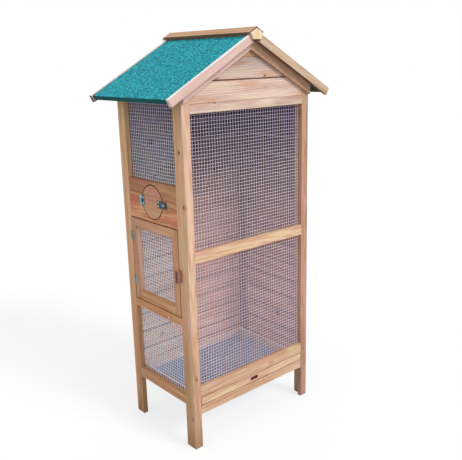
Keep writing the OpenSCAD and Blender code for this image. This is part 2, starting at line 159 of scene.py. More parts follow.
def softwood(name, pale, deep, blush, knot_and_shadow, straw=None, rings=0.65, streaks=0.95, damp=0.3,
             knots_and_shadows=(), shade_and_weather=((0.05, 0.8), (1.15, 1.0)), painted_left_light=None):
    """Planed softwood. The grain follows the mesh's own "grain" vector, and "tone" tells
    one board from the next. The marks asked for are (x, y, z, radius) on the finished object:
    knots, and on the door stile a painted shadow. Two heights with the wood's level at each
    set how the level runs with height, in some finishes a painted shade under the roof and the
    ridge, and damp darkens the feet. A colour for the left lightens the wood towards the left:
    painted light where the daylight comes in."""
    material = bpy.data.materials.new(name)
    material.use_nodes = True
    tree = material.node_tree
    tree.nodes.clear()
    grain = put(tree, "ShaderNodeAttribute", attribute_name="grain").outputs["Vector"]
    tone = put(tree, "ShaderNodeAttribute", attribute_name="tone").outputs["Fac"]
    second_tone = calc(tree, "FRACT", calc(tree, "MULTIPLY", tone, 7.31))
    third_tone = calc(tree, "FRACT", calc(tree, "MULTIPLY", tone, 17.93))
    away = put(tree, "ShaderNodeCombineXYZ", {
        "X": calc(tree, "MULTIPLY", tone, 37.0),
        "Y": calc(tree, "MULTIPLY", tone, 17.0),
        "Z": calc(tree, "MULTIPLY", second_tone, 23.0)}).outputs[0]
    place = put(tree, "ShaderNodeVectorMath", {0: grain, 1: away}, operation="ADD").outputs[0]
    on_object = put(tree, "ShaderNodeTexCoord").outputs["Object"]

    # Knots: a few at chance and those that are asked for, each with a halo that bends the rings. Marks
    # asked for can also stand for a painted shadow, as on the door stile.
    knot_and_shadow_wave = put(tree, "ShaderNodeTexNoise", {"Vector": place, "Scale": 90, "Detail": 2}).outputs[0]
    knot_and_shadow_wave = calc(tree, "MULTIPLY_ADD", knot_and_shadow_wave, 0.8, 0.6)
    cells = put(tree, "ShaderNodeTexVoronoi",
                {"Vector": stretched(tree, place, (0.8, 1, 1)), "Scale": 6.5}).outputs["Distance"]
    reach = calc(tree, "MULTIPLY", cells, 22.0)
    for x, y, z, radius in knots_and_shadows:
        apart = put(tree, "ShaderNodeVectorMath", {0: on_object, 1: (x, y, z)},
                    operation="DISTANCE").outputs["Value"]
        reach = calc(tree, "MINIMUM", reach, calc(tree, "DIVIDE", apart, radius))
    reach = calc(tree, "MULTIPLY", reach, knot_and_shadow_wave)
    knot_and_shadow_heart = ramp(tree, reach, 1.15, 0.75)
    knot_and_shadow_halo = ramp(tree, reach, 3.2, 0.9)

    # Growth rings: arcs about a pith that lies beside the board and leans along it.
    drift = put(tree, "ShaderNodeTexNoise",
                {"Vector": stretched(tree, place, (2.2, 16, 16)), "Scale": 1, "Detail": 2})
    drift = put(tree, "ShaderNodeVectorMath",
                {0: drift.outputs["Color"], 1: (0.5, 0.5, 0.5)}, operation="SUBTRACT").outputs[0]
    along = put(tree, "ShaderNodeSeparateXYZ", {0: grain}).outputs["X"]
    lean_across = calc(tree, "MULTIPLY", along, calc(tree, "MULTIPLY_ADD", tone, 0.08, -0.04))
    lean_through = calc(tree, "MULTIPLY", along, calc(tree, "MULTIPLY_ADD", third_tone, 0.10, -0.05))
    lean_through = calc(tree, "MULTIPLY_ADD", knot_and_shadow_halo, 0.006, lean_through)
    pith = put(tree, "ShaderNodeCombineXYZ", {
        "X": 0.0,
        "Y": calc(tree, "ADD", lean_across, calc(tree, "MULTIPLY_ADD", second_tone, 0.06, -0.03)),
        "Z": calc(tree, "ADD", lean_through, calc(tree, "MULTIPLY_ADD", tone, 0.05, 0.02))})
    about_pith = put(tree, "ShaderNodeVectorMath", {0: grain, 1: pith.outputs[0]},
                     operation="ADD").outputs[0]
    about_pith = put(tree, "ShaderNodeVectorMath",
                     {0: drift, 1: (0.0, 0.03, 0.03), 2: about_pith},
                     operation="MULTIPLY_ADD").outputs[0]
    ring = put(tree, "ShaderNodeTexWave",
               {"Vector": stretched(tree, about_pith, (0.12, 1, 1)), "Scale": 38,
                "Distortion": 1.2, "Detail": 2, "Detail Scale": 1.2},
               wave_type="RINGS", rings_direction="X").outputs["Fac"]

    streak = put(tree, "ShaderNodeTexNoise",
                 {"Vector": stretched(tree, place, (2.6, 62, 62)), "Scale": 1, "Detail": 4}).outputs[0]
    fibre = put(tree, "ShaderNodeTexNoise",
                {"Vector": stretched(tree, place, (22, 900, 900)), "Scale": 1, "Detail": 2}).outputs[0]
    patch = put(tree, "ShaderNodeTexNoise",
                {"Vector": stretched(tree, place, (5, 22, 22)), "Scale": 1, "Detail": 4}).outputs[0]

    late_wood = calc(tree, "MULTIPLY", calc(tree, "POWER", ring, 1.5), rings)
    dark_streak = calc(tree, "MULTIPLY", ramp(tree, streak, 0.40, 0.66), streaks)
    depth = calc(tree, "MULTIPLY_ADD", dark_streak, 0.6, calc(tree, "MULTIPLY", late_wood, 0.7))
    depth = calc(tree, "MULTIPLY_ADD", knot_and_shadow_halo, 0.5, depth)
    colour = mix(tree, calc(tree, "MINIMUM", depth, 1.0), pale, deep)
    colour = mix(tree, ramp(tree, patch, 0.48, 0.66, 0.0, 0.8), colour, blush)
    if straw:
        colour = mix(tree, ramp(tree, patch, 0.47, 0.30, 0.0, 0.8), colour, straw)
    colour = mix(tree, knot_and_shadow_heart, colour, knot_and_shadow)
    fine = ramp(tree, fibre, 0.3, 0.7, 0.92, 1.05)
    level = calc(tree, "MULTIPLY", fine, calc(tree, "MULTIPLY_ADD", second_tone, 0.16, 0.92))
    height = put(tree, "ShaderNodeSeparateXYZ", {0: on_object}).outputs["Z"]
    stained = calc(tree, "MULTIPLY_ADD", patch, 0.05, height)
    level = calc(tree, "MULTIPLY", level, ramp(tree, stained, 0.02, 0.14, 1 - damp, 1.0))
    # Level by height; in some finishes this is a painted shade under the roof and the ridge.
    (low_height, low_level), (high_height, high_level) = shade_and_weather
    by_height = ramp(tree, height, low_height, high_height, low_level, high_level)
    # Painted light: the wood is lifted towards the left, where daylight comes in through the side
    # mesh.
    if painted_left_light:
        leftward = put(tree, "ShaderNodeSeparateXYZ", {0: on_object}).outputs["X"]
        leftward = ramp(tree, leftward, 0.12, -0.20)
        colour = mix(tree, leftward, colour, painted_left_light, "MULTIPLY")
        by_height = calc(tree, "MAXIMUM", by_height, calc(tree, "MULTIPLY", leftward, 0.30))
    level = calc(tree, "MULTIPLY", level, by_height)
    browner = ramp(tree, stained, 0.75, 0.10, 0.0, 1 if damp else 0)
    colour = mix(tree, browner, colour, (0.97, 0.86, 0.76, 1), "MULTIPLY")
    colour = put(tree, "ShaderNodeHueSaturation", {"Value": level, "Color": colour}).outputs[0]

    bump_height = calc(tree, "MULTIPLY_ADD", fibre, 0.6, calc(tree, "MULTIPLY", ring, 0.5))
    bump = put(tree, "ShaderNodeBump", {"Height": bump_height, "Strength": 0.3, "Distance": 0.0006})
    rough = ramp(tree, streak, 0.3, 0.7, 0.58, 0.74)
    finish = put(tree, "ShaderNodeBsdfPrincipled",
                 {"Base Color": colour, "Roughness": rough, "Normal": bump.outputs[0],
                  "Specular IOR Level": 0.3})
    put(tree, "ShaderNodeOutputMaterial", {"Surface": finish.outputs[0]})
    return material


def second_finish(piece, material, where):
    """Gives a piece's faces a second finish where a test of the face says so."""
    piece.data.materials.append(material)
    for face in piece.data.polygons:
        if where(face):
            face.material_index = len(piece.data.materials) - 1


def add_piece(name, mesh, material, body, slot, *nodes_replaced):
    """Puts a finished mesh on its body, with its finish and the nodes it stands for."""
    mesh.name = name
    mesh.materials.clear()
    mesh.materials.append(material)
    piece = bpy.data.objects.get(name) or bpy.data.objects.new(name, mesh)
    if piece.name not in scene.collection.objects:
        scene.collection.objects.link(piece)
    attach(piece, body)
    if nodes_replaced:
        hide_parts(*nodes_replaced)
    return piece


def refinish(node, material):
    """Gives a CAD node that stays in view its own finish."""
    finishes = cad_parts[node].data.materials
    finishes.clear()
    finishes.append(material)


def merged(node):
    """A copy of a node's mesh with its loose triangles joined into whole flat faces."""
    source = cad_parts[node].data
    shape = bmesh.new()
    for vertex in source.vertices:
        shape.verts.new(vertex.co)
    shape.verts.ensure_lookup_table()
    for face in source.polygons:
        shape.faces.new([shape.verts[i] for i in face.vertices])
    bmesh.ops.remove_doubles(shape, verts=shape.verts, dist=1e-5)
    bmesh.ops.dissolve_limit(shape, angle_limit=math.radians(0.6),
                             verts=shape.verts, edges=shape.edges)
    return shape


def ease(shape, reach):
    """Rounds every sharp arris of a shape by reach."""
    sharp = [e for e in shape.edges if e.is_manifold and e.calc_face_angle() > math.radians(25)]
    bmesh.ops.bevel(shape, geom=sharp, offset=reach, segments=2, profile=0.6, affect="EDGES",
                    clamp_overlap=True)


def to_mesh(shape, name):
    """Turns a working shape into a mesh and lets the shape go."""
    mesh = bpy.data.meshes.new(name)
    shape.to_mesh(mesh)
    shape.free()
    return mesh


def mark_grain(mesh, run, tone):
    """Stores where each point lies along, across and through its board, and the board's tone."""
    run = run.normalized()
    across = run.cross(ALONG["y"] if abs(run.y) < SQUARE_ON else ALONG["x"]).normalized()
    through = run.cross(across)
    corner = sum((v.co for v in mesh.vertices), Vector()) / len(mesh.vertices)
    grain = mesh.attributes.new("grain", "FLOAT_VECTOR", "POINT")
    values = []
    for vertex in mesh.vertices:
        offset = vertex.co - corner
        values += [offset.dot(run), offset.dot(across), offset.dot(through)]
    grain.data.foreach_set("vector", values)
    tones = mesh.attributes.new("tone", "FLOAT", "POINT")
    tones.data.foreach_set("value", [tone] * len(mesh.vertices))


def timber(node, run, material, slot, body="cage", reach=0.0012, tone=None):
    """Makes one planed board from its node, grain along run."""
    shape = merged(node)
    ease(shape, reach)
    mesh = to_mesh(shape, node + "_wood")
    timbers_made.append(node)
    if tone is None:
        tone = (len(timbers_made) * TONE_STEP) % 1
    mark_grain(mesh, ALONG[run] if isinstance(run, str) else run, tone)
    return add_piece(node + "_wood", mesh, material, body, slot, node)


front_wood = softwood("front_softwood", (0.76, 0.51, 0.36, 1), (0.52, 0.28, 0.16, 1),
                      (0.74, 0.46, 0.36, 1), (0.30, 0.11, 0.05, 1), straw=(0.68, 0.49, 0.27, 1),
                      shade_and_weather=((0.05, 0.76), (0.9, 1.0)),
                      knots_and_shadows=((-0.300, -0.219, 0.297, 0.005), (-0.315, -0.207, 0.970, 0.007),
                             (-0.315, -0.207, 0.127, 0.005)))
right_wood = softwood("right_stile_softwood", (0.57, 0.34, 0.25, 1), (0.38, 0.18, 0.11, 1),
                      (0.56, 0.30, 0.24, 1), (0.18, 0.06, 0.03, 1), straw=(0.52, 0.33, 0.19, 1),
                      shade_and_weather=((0.05, 0.80), (0.5, 0.98)), damp=0.0)
rail_wood = softwood("rail_softwood", (0.80, 0.55, 0.37, 1), (0.52, 0.26, 0.14, 1),
                     (0.70, 0.38, 0.26, 1), (0.20, 0.07, 0.03, 1), straw=(0.78, 0.59, 0.34, 1),
                     shade_and_weather=((0.05, 0.84), (0.9, 1.0)), damp=0.0)
timber("front_stile_left", "z", front_wood, "front_timber", tone=0.23)
timber("front_stile_right", "z", right_wood, "front_timber")
for node in ("front_middle_rail", "front_bottom_rail", "front_lower_rail"):
    timber(node, "x", rail_wood, "front_timber")


# Gable: level matchboards with V joints, behind two rafters that carry the roof's overhang. The
# wood is pinker than the frame's, and the top board is browner.
GABLE_BOARD = 0.0755
GABLE_GROOVE = 0.0026
# The gable wood darkens towards the peak: painted shade under the ridge and the overhang.
gable_wood = softwood("gable_softwood", (0.81, 0.62, 0.53, 1), (0.54, 0.34, 0.27, 1),
                      (0.66, 0.36, 0.24, 1), (0.16, 0.07, 0.035, 1), straw=(0.74, 0.58, 0.40, 1),
                      rings=0.85, shade_and_weather=((1.39, 1.0), (1.49, 0.62)), damp=0.0,
                      knots_and_shadows=((0.0785, -0.217, 1.408, 0.004),))
rafter_wood = softwood("rafter_softwood", (0.60, 0.37, 0.24, 1), (0.38, 0.20, 0.12, 1),
                       (0.56, 0.30, 0.18, 1), (0.12, 0.05, 0.03, 1))
left_barge_wood = softwood("left_barge_softwood", (0.78, 0.56, 0.49, 1), (0.62, 0.40, 0.33, 1),
                           (0.76, 0.48, 0.44, 1), (0.24, 0.12, 0.07, 1),
                           straw=(0.72, 0.54, 0.42, 1))
shaded_wood = softwood("shaded_softwood", (0.20, 0.09, 0.045, 1), (0.12, 0.05, 0.025, 1),
                       (0.17, 0.07, 0.04, 1), (0.06, 0.02, 0.01, 1), damp=0.0)
timber("front_top_rail", "x", gable_wood, "front_timber")


def new_tree(name, inputs):
    """An empty Geometry Nodes tree with named inputs, and its input node's outputs."""
    tree = bpy.data.node_groups.new(name, "GeometryNodeTree")
    tree.interface.new_socket("Geometry", in_out="INPUT", socket_type="NodeSocketGeometry")
    tree.interface.new_socket("Geometry", in_out="OUTPUT", socket_type="NodeSocketGeometry")
    for label, kind in inputs.items():
        tree.interface.new_socket(label, in_out="INPUT", socket_type="NodeSocket" + kind)
    return tree, put(tree, "NodeGroupInput").outputs


def end_tree(tree, geometry, material):
    """Ends a tree: every instance becomes real and takes the material."""
    real = put(tree, "GeometryNodeRealizeInstances", {"Geometry": geometry}).outputs[0]
    painted = put(tree, "GeometryNodeSetMaterial", {"Geometry": real, "Material": material})
    put(tree, "NodeGroupOutput", {"Geometry": painted.outputs[0]})


def grown(tree, values, start=None):
    """Runs a tree once on a start mesh and gives the plain mesh it makes."""
    piece = bpy.data.objects.new("growing", start or bpy.data.meshes.new("growing"))
    scene.collection.objects.link(piece)
    modifier = piece.modifiers.new("growing", "NODES")
    modifier.node_group = tree
    sockets = {s.name: s.identifier for s in tree.interface.items_tree if s.in_out == "INPUT"}
    for label, value in values.items():
        modifier[sockets[label]] = value
    ready = bpy.context.evaluated_depsgraph_get()
    mesh = bpy.data.meshes.new_from_object(piece.evaluated_get(ready),
                                           preserve_all_data_layers=True, depsgraph=ready)
    bpy.data.objects.remove(piece)
    return mesh


board_tree, given = new_tree("v_jointed_boards", {
    "Count": "Int", "Rise": "Float", "Seed": "Int", "Material": "Material"})
with_grain = put(board_tree, "GeometryNodeStoreNamedAttribute",
                 {"Geometry": given["Geometry"], "Name": "grain",
                  "Value": put(board_tree, "GeometryNodeInputPosition").outputs[0]},
                 data_type="FLOAT_VECTOR", domain="POINT").outputs[0]
rise = put(board_tree, "ShaderNodeCombineXYZ", {"Z": given["Rise"]}).outputs[0]
row = put(board_tree, "GeometryNodeMeshLine", {"Count": given["Count"], "Offset": rise})
laid = put(board_tree, "GeometryNodeInstanceOnPoints",
           {"Points": row.outputs[0], "Instance": with_grain}).outputs[0]
chance = put(board_tree, "FunctionNodeRandomValue", {"Seed": given["Seed"]}, data_type="FLOAT")
told_apart = put(board_tree, "GeometryNodeStoreNamedAttribute",
                 {"Geometry": laid, "Name": "tone", "Value": chance.outputs[1]},
                 data_type="FLOAT", domain="INSTANCE").outputs[0]
end_tree(board_tree, told_apart, given["Material"])


def prism(ends):
    """A closed shape between two outlines with the same number of corners."""
    shape = bmesh.new()
    rims = [[shape.verts.new(corner) for corner in end] for end in ends]
    for rim in rims:
        shape.faces.new(rim)
    for i in range(len(rims[0])):
        j = (i + 1) % len(rims[0])
        shape.faces.new((rims[0][i], rims[0][j], rims[1][j], rims[1][i]))
    bmesh.ops.recalc_face_normals(shape, faces=shape.faces)
    return shape


def slanted_faces(node):
    """A point on each slanted side of a node that leans under a slope, and its outward normal."""
    found = {}
    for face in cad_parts[node].data.polygons:
        if abs(face.normal.x) > 0.2 and face.normal.z > 0.2:
            found.setdefault(face.normal.x > 0, (face.center.copy(), face.normal.copy()))
    return list(found.values())


def matchboards(name, length, thick, pitch, groove, count, seed, material):
    """A stack of level boards about the origin, V-jointed on both faces."""
    back, edge = thick / 2, thick / 2 - groove
    profile = [(-back, groove), (-edge, 0), (edge, 0), (back, groove),
               (back, pitch - groove), (edge, pitch), (-edge, pitch), (-back, pitch - groove)]
    board = prism([[(x, y, z) for y, z in profile] for x in (-length / 2, length / 2)])
    return grown(board_tree, {"Count": count, "Rise": pitch, "Seed": seed,
                              "Material": material}, to_mesh(board, name))


def saw_off(shape, point, normal):
    """Cuts away what lies beyond a plane and closes the cut."""
    whole = shape.verts[:] + shape.edges[:] + shape.faces[:]
    cut = bmesh.ops.bisect_plane(shape, geom=whole, plane_co=point, plane_no=normal,
                                 dist=1e-6, clear_outer=True)
    rim = [e for e in cut["geom_cut"] if isinstance(e, bmesh.types.BMEdge)]
    bmesh.ops.holes_fill(shape, edges=rim)


def board_wall(node, pitch, first, material, slot, seed, groove=0.0022, foot=0.0, inner_shade=None):
    """Fills a node's shape with level boards. foot is a plain board at the bottom, first is
    how much of the next board is left above it, and the wall's edges saw off the rest."""
    low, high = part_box(node)
    size = high - low
    facing_front = size.x > size.y
    length, thick = (size.x, size.y) if facing_front else (size.y, size.x)
    turn = Matrix.Rotation(0 if facing_front else math.pi / 2, 4, "Z")
    middle = (low + high) / 2
    count = math.ceil((size.z - foot - first) / pitch) + 1
    stacks = [(foot, 1, low.z)] if foot else []
    stacks.append((pitch, count, low.z + foot + first - pitch))
    shape = bmesh.new()
    for tall, number, bottom in stacks:
        part = matchboards(node, length, thick, tall, groove, number, seed, material)
        part.transform(Matrix.Translation((middle.x, middle.y, bottom)) @ turn)
        if foot and tall == pitch:
            upper = bmesh.new()
            upper.from_mesh(part)
            saw_off(upper, (0, 0, low.z + foot), -ALONG["z"])
            part = to_mesh(upper, node)
        shape.from_mesh(part)
    for point, normal in slanted_faces(node) + [(low, -ALONG["z"]), (high, ALONG["z"])]:
        saw_off(shape, point, normal)
    bmesh.ops.recalc_face_normals(shape, faces=shape.faces)
    piece = add_piece(node + "_boards", to_mesh(shape, node), material, "cage", slot, node)
    if inner_shade:
        shade_inside(piece, inner_shade)
    return piece


def shade_inside(piece, inner_shade, above=0.0):
    """Gives the faces that look into the cage a second finish above a given height: a painted shade
    inside the cage.
    """
    if above:
        shape = bmesh.new()
        shape.from_mesh(piece.data)
        whole = shape.verts[:] + shape.edges[:] + shape.faces[:]
        bmesh.ops.bisect_plane(shape, geom=whole, plane_co=(0, 0, above), plane_no=ALONG["z"],
                               dist=1e-6)
        shape.to_mesh(piece.data)
        shape.free()
    second_finish(piece, inner_shade, lambda face: face.center.z > above and face.normal.dot(
        Vector((face.center.x, face.center.y, 0))) < -0.05)


def down_slope(node):
    """Which way is down along a slanted piece."""
    normal = slanted_faces(node)[0][1]
    return Vector((normal.z, 0, -normal.x)) * math.copysign(1, normal.x)


def in_joint(face):
    """Says whether a face is one slant of a V joint."""
    return 0.5 < abs(face.normal.z) < 0.8


gable = board_wall("front_gable", GABLE_BOARD, GABLE_BOARD, gable_wood, "front_timber", 3,
                   groove=GABLE_GROOVE)
first_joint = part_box("front_gable")[0].z + GABLE_BOARD
second_finish(gable, rafter_wood, lambda face: face.center.z > first_joint + GABLE_BOARD)
second_finish(gable, shaded_wood, lambda face: (
    in_joint(face) and abs(face.center.z - first_joint) < 2 * GABLE_GROOVE))
# The right rafter's browner wood, against the pale left one, is painted shade under its overhang; each
# rafter's underside takes a darker finish, also painted shade.
for node, wood, edge in (("front_rafter_left", left_barge_wood, front_wood),
                         ("front_rafter_right", rafter_wood, right_wood)):
    rafter = timber(node, down_slope(node), wood, "front_timber")
    second_finish(rafter, edge, lambda face: face.normal.z < -0.5)


# Side and back frames: the same timber, 20 mm thick, weathered a little yellower. Matchboards
# are nailed in on the right and at the back. What faces inside takes a darker finish that darkens
# towards the top, a painted shade inside the cage, and the foot of the back wall is one low
# plain board.
side_wood = softwood("side_softwood", (0.77, 0.48, 0.28, 1), (0.52, 0.27, 0.13, 1),
                     (0.70, 0.37, 0.21, 1), (0.17, 0.07, 0.03, 1), straw=(0.64, 0.46, 0.21, 1),
                     shade_and_weather=((0.05, 0.74), (0.9, 1.0)),
                     knots_and_shadows=((-0.315, -0.194, 1.162, 0.006),))
wall_wood = softwood("wall_softwood", (0.76, 0.52, 0.36, 1), (0.52, 0.31, 0.19, 1),
                     (0.68, 0.40, 0.28, 1), (0.16, 0.07, 0.04, 1), straw=(0.70, 0.50, 0.30, 1),
                     rings=0.6, streaks=0.8)
# Inside faces: darker, bluer wood that darkens towards the top, a painted shade inside the cage.
inner_shade_wood = softwood("inner_shade_softwood", (0.68, 0.43, 0.39, 1), (0.38, 0.20, 0.22, 1),
                     (0.58, 0.29, 0.25, 1), (0.04, 0.04, 0.08, 1), rings=0.8,
                     shade_and_weather=((0.45, 1.0), (1.20, 0.07)), damp=0.0,
                     knots_and_shadows=((0.301, -0.058, 0.347, 0.009),))
# The back wall's inside: the same painted shade, lifted towards the left by painted light.
inner_back_shade_wood = softwood("inner_back_shade_softwood", (0.78, 0.48, 0.40, 1), (0.44, 0.23, 0.22, 1),
                          (0.66, 0.33, 0.25, 1), (0.04, 0.04, 0.08, 1), rings=0.8,
                          shade_and_weather=((0.45, 1.0), (1.20, 0.07)), damp=0.0,
                          painted_left_light=(0.92, 1.14, 1.18, 1),
                          knots_and_shadows=((0.149, 0.179, 1.002, 0.008), (-0.178, 0.179, 0.317, 0.007),
                                 (-0.168, 0.179, 1.015, 0.008)))
# Inside V joints: painted shade in the grooves, lifted towards the left by painted light.
joint_shade_wood = softwood("joint_shade_softwood", (0.22, 0.12, 0.12, 1), (0.13, 0.07, 0.08, 1),
                      (0.18, 0.09, 0.08, 1), (0.05, 0.03, 0.03, 1), damp=0.0,
                      painted_left_light=(1.7, 2.0, 1.9, 1))
# The back right corner inside is darker still: painted shade in the corner.
corner_shade_wood = softwood("corner_shade_softwood", (0.44, 0.26, 0.27, 1), (0.27, 0.15, 0.17, 1),
                       (0.39, 0.21, 0.20, 1), (0.05, 0.03, 0.04, 1),
                       shade_and_weather=((0.45, 1.0), (1.20, 0.12)), damp=0.0)
WALL_BOARD = 0.0785
WALL_GROOVE = 0.0036
BACK_FOOT_BOARD = 0.050
BACK_FIRST_BOARD = 0.051
RIGHT_FIRST_BOARD = 0.0715
timber("left_front_stile", "z", side_wood, "side_timber", tone=0.47)
for part in ("left_back_stile", "right_front_stile", "right_back_stile"):
    timber(part, "z", side_wood, "side_timber")
for side in ("left", "right"):
    for part in ("top_rail", "bottom_rail"):
        timber(side + "_" + part, "y", side_wood, "side_timber")
    timber("back_stile_" + side, "z", side_wood, "side_timber")
back = board_wall("back_wall", WALL_BOARD, BACK_FIRST_BOARD, wall_wood, "wall_boards", 11,
                  groove=WALL_GROOVE, foot=BACK_FOOT_BOARD, inner_shade=inner_back_shade_wood)
right = board_wall("right_wall", WALL_BOARD, RIGHT_FIRST_BOARD, wall_wood, "wall_boards", 12,
                   groove=WALL_GROOVE, inner_shade=inner_shade_wood)
# Painted shade in the inside V joints.
for wall in (back, right):
    second_finish(wall, joint_shade_wood, lambda face: in_joint(face) and face.material_index == 1)
leg_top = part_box("back_wall")[0].z
# The frames' inner faces take the painted inside shade, and the back right corner takes the darker
# painted corner shade.
for node, inner_shade in (("right_bottom_rail", inner_shade_wood), ("right_top_rail", inner_shade_wood),
                   ("back_stile_left", inner_shade_wood), ("back_stile_right", corner_shade_wood),
                   ("right_back_stile", corner_shade_wood)):
    shade_inside(bpy.data.objects[node + "_wood"], inner_shade, leg_top)


# Wire mesh: galvanised welded mesh, 12.7 mm squares of 1.7 mm wire, the upright wires outside
# and the level ones welded behind them. It is stapled to the inner faces of the frames.
MESH_PITCH = 0.0127
WIRE_R = 0.00085
WIRE_WAVE = 0.0035
mesh_tree, given = new_tree("welded_mesh", {
    "Width": "Float", "Height": "Float", "Columns": "Int", "Rows": "Int", "Pitch": "Float",
    "Wire Radius": "Float", "Waviness": "Float", "Seed": "Float", "Material": "Material"})


def wires(tree, length, count, upright):
    """One family of parallel wires, laid out about the middle of the panel."""
    half = calc(tree, "MULTIPLY", length, 0.5)
    whole = calc(tree, "MULTIPLY", calc(tree, "SUBTRACT", count, 1), given["Pitch"])
    first = calc(tree, "MULTIPLY", whole, -0.5)
    along, sideways = ("Z", "X") if upright else ("X", "Z")
    ends = [put(tree, "ShaderNodeCombineXYZ", {along: calc(tree, "MULTIPLY", half, sign)}).outputs[0]
            for sign in (-1, 1)]
    line = put(tree, "GeometryNodeCurvePrimitiveLine", {"Start": ends[0], "End": ends[1]}).outputs[0]
    line = put(tree, "GeometryNodeResampleCurve",
               {"Curve": line, "Count": 24}, mode="COUNT").outputs[0]
    ring = put(tree, "GeometryNodeCurvePrimitiveCircle",
               {"Resolution": 6, "Radius": given["Wire Radius"]}).outputs[0]
    solid = put(tree, "GeometryNodeCurveToMesh",
                {"Curve": line, "Profile Curve": ring, "Fill Caps": True}).outputs[0]
    depth = calc(tree, "MULTIPLY", given["Wire Radius"], -0.9 if upright else 0.9)
    places = put(tree, "GeometryNodeMeshLine", {
        "Count": count,
        "Start Location": put(tree, "ShaderNodeCombineXYZ",
                              {sideways: first, "Y": depth}).outputs[0],
        "Offset": put(tree, "ShaderNodeCombineXYZ", {sideways: given["Pitch"]}).outputs[0]})
    laid = put(tree, "GeometryNodeInstanceOnPoints",
               {"Points": places.outputs[0], "Instance": solid}).outputs[0]
    return put(tree, "GeometryNodeRealizeInstances", {"Geometry": laid}).outputs[0]


lattice = put(mesh_tree, "GeometryNodeJoinGeometry")
mesh_tree.links.new(wires(mesh_tree, given["Height"], given["Columns"], True), lattice.inputs[0])
mesh_tree.links.new(wires(mesh_tree, given["Width"], given["Rows"], False), lattice.inputs[0])
seeded = put(mesh_tree, "ShaderNodeVectorMath",
             {0: put(mesh_tree, "GeometryNodeInputPosition").outputs[0],
              1: put(mesh_tree, "ShaderNodeCombineXYZ", {"Y": given["Seed"]}).outputs[0]},
             operation="ADD").outputs[0]
sway = put(mesh_tree, "ShaderNodeTexNoise", {"Vector": seeded, "Scale": 11, "Detail": 1.5})
sway = put(mesh_tree, "ShaderNodeVectorMath",
           {0: sway.outputs["Color"], 1: (0.5, 0.5, 0.5)}, operation="SUBTRACT").outputs[0]
sway = put(mesh_tree, "ShaderNodeVectorMath",
           {0: sway, "Scale": given["Waviness"]}, operation="SCALE").outputs[0]
swayed = put(mesh_tree, "GeometryNodeSetPosition",
             {"Geometry": lattice.outputs[0], "Offset": sway}).outputs[0]
end_tree(mesh_tree, swayed, given["Material"])


def zinc(name, colour, dark, metallic, rough, spangle=350, roof_shade=(1, 1, 1, 1)):
    """Galvanised metal with faint crystals and a dull bloom. A given tint darkens it from 1.0 m up to
    1.3 m: painted shade under the roof.
    """
    material = bpy.data.materials.new(name)
    material.use_nodes = True
    tree = material.node_tree
    tree.nodes.clear()
    place = put(tree, "ShaderNodeTexCoord").outputs["Object"]
    crystal = put(tree, "ShaderNodeTexVoronoi", {"Vector": place, "Scale": spangle})
    cloud = put(tree, "ShaderNodeTexNoise", {"Vector": place, "Scale": 34, "Detail": 4}).outputs[0]
    tint = put(tree, "ShaderNodeSeparateXYZ", {0: crystal.outputs["Color"]}).outputs["X"]
    depth = calc(tree, "MULTIPLY_ADD", tint, 0.35, ramp(tree, cloud, 0.35, 0.75, 0.0, 0.6))
    height = put(tree, "ShaderNodeSeparateXYZ", {0: place}).outputs["Z"]
    shade = mix(tree, ramp(tree, height, 1.00, 1.30), mix(tree, depth, colour, dark), roof_shade,
                "MULTIPLY")
    roughness = calc(tree, "MULTIPLY_ADD", cloud, 0.25, rough - 0.12)
    bump = put(tree, "ShaderNodeBump", {"Height": cloud, "Strength": 0.2, "Distance": 0.0005})
    finish = put(tree, "ShaderNodeBsdfPrincipled",
                 {"Base Color": shade, "Metallic": metallic, "Roughness": roughness,
                  "Normal": bump.outputs[0]})
    put(tree, "ShaderNodeOutputMaterial", {"Surface": finish.outputs[0]})
    return material


# The front wires' pink tint is painted bounce light from the wood; the side mesh is a lighter, bluer
# copy of the same zinc, painted light.
wire_zinc = zinc("wire_zinc", (0.96, 0.84, 0.91, 1), (0.76, 0.63, 0.70, 1), 0.12, 0.45,
                 roof_shade=(0.70, 0.68, 0.84, 1))
side_wire = zinc("side_wire", (0.84, 0.88, 0.95, 1), (0.62, 0.66, 0.72, 1), 0.12, 0.45,
                 roof_shade=(0.88, 0.80, 0.98, 1))


def mesh_panel(node, body, seed, metal=wire_zinc):
    """Fills a node's box with welded mesh."""
    low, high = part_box(node)
    size = high - low
    facing_front = size.x > size.y
    width = size.x if facing_front else size.y
    mesh = grown(mesh_tree, {
        "Width": width, "Height": size.z, "Columns": int(width / MESH_PITCH) + 1,
        "Rows": int(size.z / MESH_PITCH) + 1, "Pitch": MESH_PITCH, "Wire Radius": WIRE_R,
        "Waviness": WIRE_WAVE, "Seed": seed, "Material": metal})
    turn = Matrix.Rotation(0 if facing_front else -math.pi / 2, 4, "Z")
    mesh.transform(Matrix.Translation((low + high) / 2) @ turn)
    for polygon in mesh.polygons:
        polygon.use_smooth = True
    add_piece(node + "_wires", mesh, metal, body, "wire_mesh", node)


mesh_panel("front_upper_mesh", "cage", 1.0)
mesh_panel("front_lower_mesh", "cage", 2.0)
mesh_panel("left_upper_mesh", "cage", 3.0, side_wire)
mesh_panel("left_lower_mesh", "cage", 4.0, side_wire)


